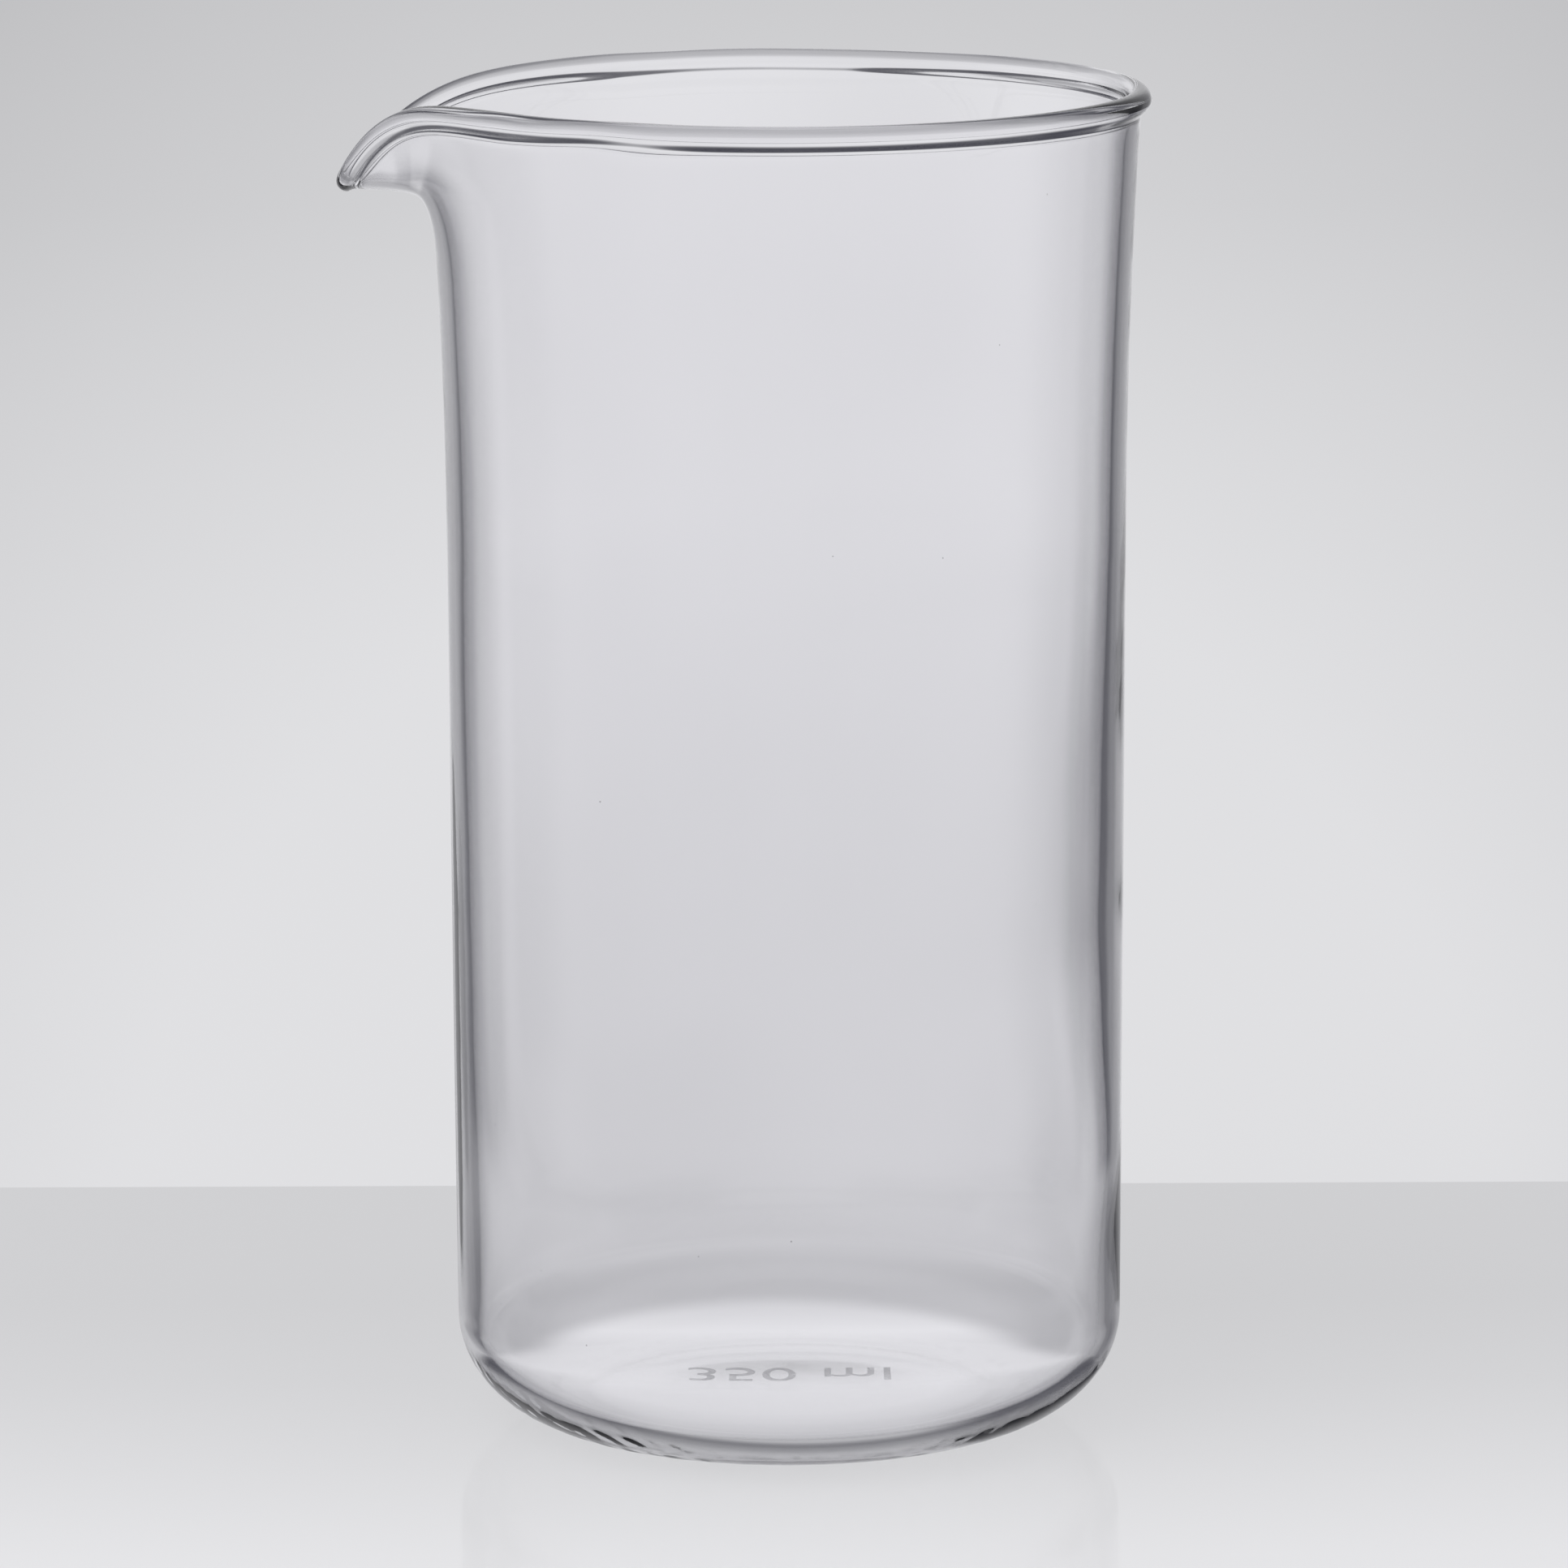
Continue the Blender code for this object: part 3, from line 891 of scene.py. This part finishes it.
def mark_material(finish):
    """Frosted mark: pale grey, matt, and worn thin in fine grains so that the floor shows through."""
    material, tree, shader = new_material("frosted_mark")
    place = object_place(tree)
    tone = patches(tree, place, GRAIN_NOISE, *MARK_TONES)
    feed(tree, shader.inputs["Base Color"], tinted(tree, tone, finish.mark))
    feed(tree, shader.inputs["Roughness"], patches(tree, place, GRAIN_NOISE, *MARK_ROUGHNESS))
    feed(tree, shader.inputs["Alpha"], patches(tree, place, THIN_NOISE, *MARK_COVER))
    return material


def floor_colour(tree, stage, x, y):
    """Colour of the pale floor, and of the backdrop past its far edge, as the camera sees them, with a
    painted falloff of light.
    """
    reach = calculate(tree, "MAXIMUM", calculate(tree, "ADD", y, BACKDROP_EYE), BACKDROP_NEAREST)
    slope = calculate(tree, "SUBTRACT", calculate(tree, "DIVIDE", x, reach), BACKDROP_MIDDLE)
    # Painted shade: the backdrop is made darker towards its sides
    side = calculate(tree, "MINIMUM", product(tree, slope, slope, BACKDROP_SIDE_FADE), BACKDROP_SIDE_MOST)
    backdrop = calculate(tree, "SUBTRACT", tone_ramp(tree, y, BACKDROP_TONES), side)
    backdrop = calculate(tree, "MINIMUM", backdrop, stage.backdrop)
    top = remap(tree, distance(tree, x, y), *BACKDROP_TOP)
    backdrop = mix(tree, top, backdrop, stage.backdrop_far)
    past_edge = calculate(tree, "GREATER_THAN", y, stage.floor_depth)
    return tinted(tree, mix(tree, past_edge, tone_ramp(tree, y, FLOOR_TONES), backdrop), stage.floor_tint)


def table_tone(tree, stage, x, y):
    """Tone of the floor as the glass shows it, all painted: a table between painted dark bands for flags, a
    painted lit disc and its painted shadow.
    """
    # Painted shade: dark bands on the floor at the sides that stand in for dark flags
    off_side = calculate(tree, "ABSOLUTE", calculate(tree, "SUBTRACT", x, FLAG_ASIDE))
    off_side = calculate(tree, "MAXIMUM", calculate(tree, "SUBTRACT", off_side, FLAG_SIDE), 0.0)
    off_front = calculate(tree, "MAXIMUM", calculate(tree, "ADD", y, FLAG_FRONT), FLAG_NEAREST)
    spread = calculate(tree, "DEGREES", calculate(tree, "ARCTAN2", off_side, off_front))
    flags = calculate(tree, "SUBTRACT", 1.0, tone_ramp(tree, spread, PAINTED_FLAG_SHADE_GAPS))
    fading = remap(tree, spread, *FLAG_FADE, 1.0, 0.0)
    behind = remap(tree, y, -FLAG_FRONT, FLAG_EDGE - FLAG_FRONT)
    far_share = remap(tree, distance(tree, x, y), *FLAG_FAR, 1.0, FLAG_FAR_SHARE)
    flags = product(tree, flags, fading, behind, far_share)
    tone = mix(tree, flags, tone_ramp(tree, y, TABLE_TONES), stage.flag)
    # Painted light: a bright disc on the floor under the glass, which no lamp casts
    disc = product(tree, tone_ramp(tree, y, PAINTED_LIGHT_DISC_TONES), stage.disc)
    narrowing = remap(tree, y, *DISC_BACK, 1.0, DISC_NARROW)
    across = product(tree, calculate(tree, "SUBTRACT", x, DISC_ASIDE), narrowing)
    off_disc = remap(tree, distance(tree, across, calculate(tree, "SUBTRACT", y, DISC_BEHIND)), *DISC_EDGE)
    tone = mix(tree, off_disc, disc, tone)
    # Painted shadow: a dark ring in front of and beside the foot, set by distance and not by any lamp
    narrowed = product(tree, calculate(tree, "SUBTRACT", x, SHADOW_ASIDE), SHADOW_NARROW)
    away = distance(tree, narrowed, calculate(tree, "SUBTRACT", y, SHADOW_BEHIND))
    sideways = remap(tree, calculate(tree, "ABSOLUTE", x), *SHADOW_SIDES)
    middle, side = (tone_ramp(tree, away, tones) for tones in (PAINTED_SHADOW_TONES, PAINTED_SHADOW_SIDE_TONES))
    shadow = mix(tree, sideways, middle, side)
    shadow = mix(tree, remap(tree, y, *SHADOW_BACK), shadow, 1.0)
    return calculate(tree, "MINIMUM", tone, shadow)


def floor_material(stage, azimuth):
    """Pale floor and backdrop with a faint gloss and a soft shadow; through the glass, a small table of
    painted light and shade.
    """
    material, tree, surface = stage_material("pale_stage")
    x, y, _ = photo_parts(tree, object_place(tree), azimuth)
    shown = floor_colour(tree, stage, x, y)
    lit = make(tree, "ShaderNodeEmission", {"Color": shown}).outputs[0]
    matt = make(tree, "ShaderNodeBsdfDiffuse", {"Color": shown}).outputs[0]
    gloss = make(tree, "ShaderNodeBsdfGlossy", {"Roughness": FLOOR_ROUGHNESS}).outputs[0]
    seen = mix_shaders(tree, stage.gloss, mix_shaders(tree, stage.glow, matt, lit), gloss)
    colour_through = tinted(tree, table_tone(tree, stage, x, y), stage.light_tint, stage.veil)
    table = make(tree, "ShaderNodeEmission", {"Color": colour_through}).outputs[0]
    beyond = make(tree, "ShaderNodeBsdfTransparent").outputs[0]
    off_sides = remap(tree, distance(tree, x, y), *TABLE_SIDES)
    off_table = calculate(tree, "MAXIMUM", remap(tree, y, *TABLE_BACK), off_sides)
    through = mix_shaders(tree, off_table, table, beyond)
    glass = seen_by_glass(tree, light_path(tree))
    feed(tree, surface, mix_shaders(tree, glass, seen, through))
    return material


def card_material(stage):
    """Card that glows by itself, painted light that only the glass sees, with soft edges above, below and at
    its sides.
    """
    material, tree, surface = stage_material("glowing_card")
    x, _, z = parts_of(tree, object_place(tree))
    low, high = remap(tree, z, *CARD_LOW), remap(tree, z, *CARD_HIGH, 1.0, 0.0)
    sides = remap(tree, calculate(tree, "ABSOLUTE", x), *CARD_SIDE, 1.0, 0.0)
    # Painted light: the card glows only for rays that have passed through or off the glass
    shown = product(tree, low, high, sides, seen_by_glass(tree, light_path(tree)))
    tone = product(tree, tone_ramp(tree, z, GLOWING_CARD_TONES), stage.card)
    shade = tinted(tree, tone, stage.light_tint, stage.veil)
    lit = make(tree, "ShaderNodeEmission", {"Color": shade}).outputs[0]
    clear = make(tree, "ShaderNodeBsdfTransparent").outputs[0]
    feed(tree, surface, mix_shaders(tree, shown, clear, lit))
    return material


def light_world(stage, azimuth):
    """Even light for matt surfaces; for the glass a bright panel between dark flags in a grey room."""
    world = bpy.data.worlds.new("studio")
    bpy.context.scene.world = world
    world.use_nodes = True
    tree = world.node_tree
    x, y, z = photo_parts(tree, make(tree, "ShaderNodeTexCoord").outputs["Generated"], azimuth)
    path = light_path(tree)
    mirrored = calculate(tree, "GREATER_THAN", path["Is Glossy Ray"], path["Is Transmission Ray"])
    kept = calculate(tree, "MULTIPLY_ADD", mirrored, MIRRORED_RISE - 1.0, 1.0)
    rise = product(tree, calculate(tree, "DEGREES", calculate(tree, "ARCSINE", z)), kept)
    turn = calculate(tree, "DEGREES", calculate(tree, "ARCTAN2", x, y))
    aside = calculate(tree, "ABSOLUTE", turn)
    room = remap(tree, aside, *ROOM_OPEN)
    light = mix(tree, room, tone_ramp(tree, rise, FLAG_TONES), tone_ramp(tree, rise, ROOM_TONES))
    far = product(tree, remap(tree, aside, *FAR_OPEN), remap(tree, aside, *FAR_SHUT, 1.0, 0.0))
    light = mix(tree, far, light, tone_ramp(tree, rise, FAR_TONES))
    light = mix(tree, tone_ramp(tree, turn, PANEL_SHARES), light, tone_ramp(tree, rise, PANEL_TONES))
    for bearing, low, high, full, gone in SIDE_PANELS:
        off = calculate(tree, "WRAP", calculate(tree, "SUBTRACT", turn, bearing), 180.0, -180.0)
        inside = remap(tree, calculate(tree, "ABSOLUTE", off), full, gone, 1.0, 0.0)
        above_foot = remap(tree, rise, low - PANEL_SOFTNESS, low)
        below_top = remap(tree, rise, high - PANEL_SOFTNESS, high, 1.0, 0.0)
        light = mix(tree, product(tree, inside, above_foot, below_top), light, stage.panel)
    glow = mix(tree, seen_by_glass(tree, path), stage.world, light)
    shown = mix(tree, path["Is Camera Ray"], glow, stage.backdrop_far)
    feed(tree, tree.nodes["Background"].inputs["Color"], tinted(tree, shown, stage.light_tint, stage.veil))


def soft_lamp():
    """A square soft box above the glass at the left front, which doesn't show in the glass."""
    light = bpy.data.lights.new("soft_box", "AREA")
    light.shape = "SQUARE"
    light.size = LAMP_SIZE
    light.energy = LAMP_POWER
    lamp = bpy.data.objects.new("soft_box", light)
    lamp.location = LAMP_PLACE
    lamp.rotation_euler = (-lamp.location).to_track_quat("-Z", "Y").to_euler()
    lamp.visible_glossy = False
    lamp.visible_transmission = False
    bpy.context.scene.collection.objects.link(lamp)


class BEAKER_OT_camera(bpy.types.Operator):
    """Places the camera at the photograph's angle"""

    bl_idname = "beaker.camera"
    bl_label = "Camera"

    def execute(self, context):
        scene = context.scene
        place = scene.beaker_camera
        data = bpy.data.cameras.new("photo_camera")
        data.sensor_width = SENSOR_WIDTH
        data.lens = place.lens
        data.clip_start = CLIP_NEAR
        data.clip_end = CLIP_FAR
        camera = bpy.data.objects.new("photo_camera", data)
        turned = Matrix.Rotation(place.azimuth, 4, "Z")
        stand = Matrix.Translation((-place.aside, -place.distance, place.height))
        look = Matrix.Rotation(math.pi / 2 - place.pitch, 4, "X")
        lean = Matrix.Rotation(-place.roll, 4, "Z")
        camera.matrix_world = turned @ stand @ look @ lean
        scene.collection.objects.link(camera)
        scene.camera = camera
        return {"FINISHED"}


class BEAKER_OT_glass(bpy.types.Operator):
    """Builds the glass as one closed surface in place of the CAD solid"""

    bl_idname = "beaker.glass"
    bl_label = "Glass"

    def execute(self, context):
        scene = context.scene
        shape = scene.beaker_shape
        rows = glass_rows(GlassSurface(shape))
        floor_middle = shape.base_thickness + shape.base_dish - shape.floor_sag
        mesh = closed_mesh("beaker_glass", rows, (0, 0, shape.base_dish), (0, 0, floor_middle))
        piece = add_piece("beaker_glass", mesh, glass_material(scene.beaker_finish))
        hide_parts(NODE)
        return {"FINISHED"}


class BEAKER_OT_mark(bpy.types.Operator):
    """Puts a plain frosted capacity mark in the dish under the base, read from below"""

    bl_idname = "beaker.mark"
    bl_label = "Capacity Mark"

    def execute(self, context):
        scene = context.scene
        finish = scene.beaker_finish
        mesh = flat_text(finish.mark_text, finish.mark_height, MARK_THICKNESS)
        face_down = Matrix.Rotation(math.pi, 4, "X")
        turned = Matrix.Rotation(scene.beaker_camera.azimuth, 4, "Z")
        mesh.transform(turned @ Matrix.Translation((0, MARK_BEHIND, MARK_LIFT)) @ face_down)
        add_piece("base_mark", mesh, mark_material(finish))
        return {"FINISHED"}


class BEAKER_OT_stage(bpy.types.Operator):
    """Lays the pale floor and backdrop and sets the soft light"""

    bl_idname = "beaker.stage"
    bl_label = "Stage"

    def execute(self, context):
        scene = context.scene
        stage = scene.beaker_stage
        azimuth = scene.beaker_camera.azimuth
        light_world(stage, azimuth)
        soft_lamp()
        square = np.array([(-1, -1), (1, -1), (1, 1), (-1, 1)])
        floor = np.column_stack((square * FLOOR_HALF, np.full(4, -FLOOR_DROP)))
        add_plane("pale_floor", floor.tolist(), floor_material(stage, azimuth))
        low, high = CARD_LOW[0], CARD_HIGH[1]
        upright = [(x * CARD_HALF, CARD_BEHIND, blend(low, high, (z + 1) / 2)) for x, z in square.tolist()]
        card = add_plane("glowing_card", upright, card_material(stage))
        card.rotation_euler = (0.0, 0.0, azimuth)
        scene.view_settings.view_transform = "Standard"
        return {"FINISHED"}


class BEAKER_PT_panel(bpy.types.Panel):
    """Lists the steps that build the beaker and its stage"""

    bl_idname = "BEAKER_PT_panel"
    bl_label = "Glass Beaker"
    bl_space_type = "VIEW_3D"
    bl_region_type = "UI"
    bl_category = "Beaker"

    def draw(self, context):
        for name in STEPS:
            self.layout.operator(f"beaker.{name}")


STEPS = ("camera", "glass", "mark", "stage")
GROUPS = {
    "beaker_shape": BeakerShape,
    "beaker_finish": GlassFinish,
    "beaker_stage": StudioStage,
    "beaker_camera": PhotoCamera,
}
CLASSES = (
    *GROUPS.values(),
    BEAKER_OT_camera,
    BEAKER_OT_glass,
    BEAKER_OT_mark,
    BEAKER_OT_stage,
    BEAKER_PT_panel,
)


def register():
    """Registers the classes and hangs the groups of values on the scene."""
    for entry in CLASSES:
        bpy.utils.register_class(entry)
    for name, group in GROUPS.items():
        setattr(bpy.types.Scene, name, PointerProperty(type=group))


def unregister():
    """Takes the groups of values off the scene and unregisters the classes."""
    for name in GROUPS:
        delattr(bpy.types.Scene, name)
    for entry in reversed(CLASSES):
        bpy.utils.unregister_class(entry)


def main():
    """Registers the add-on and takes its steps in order."""
    register()
    for name in STEPS:
        getattr(bpy.ops.beaker, name)()


if __name__ == "__main__":
    main()
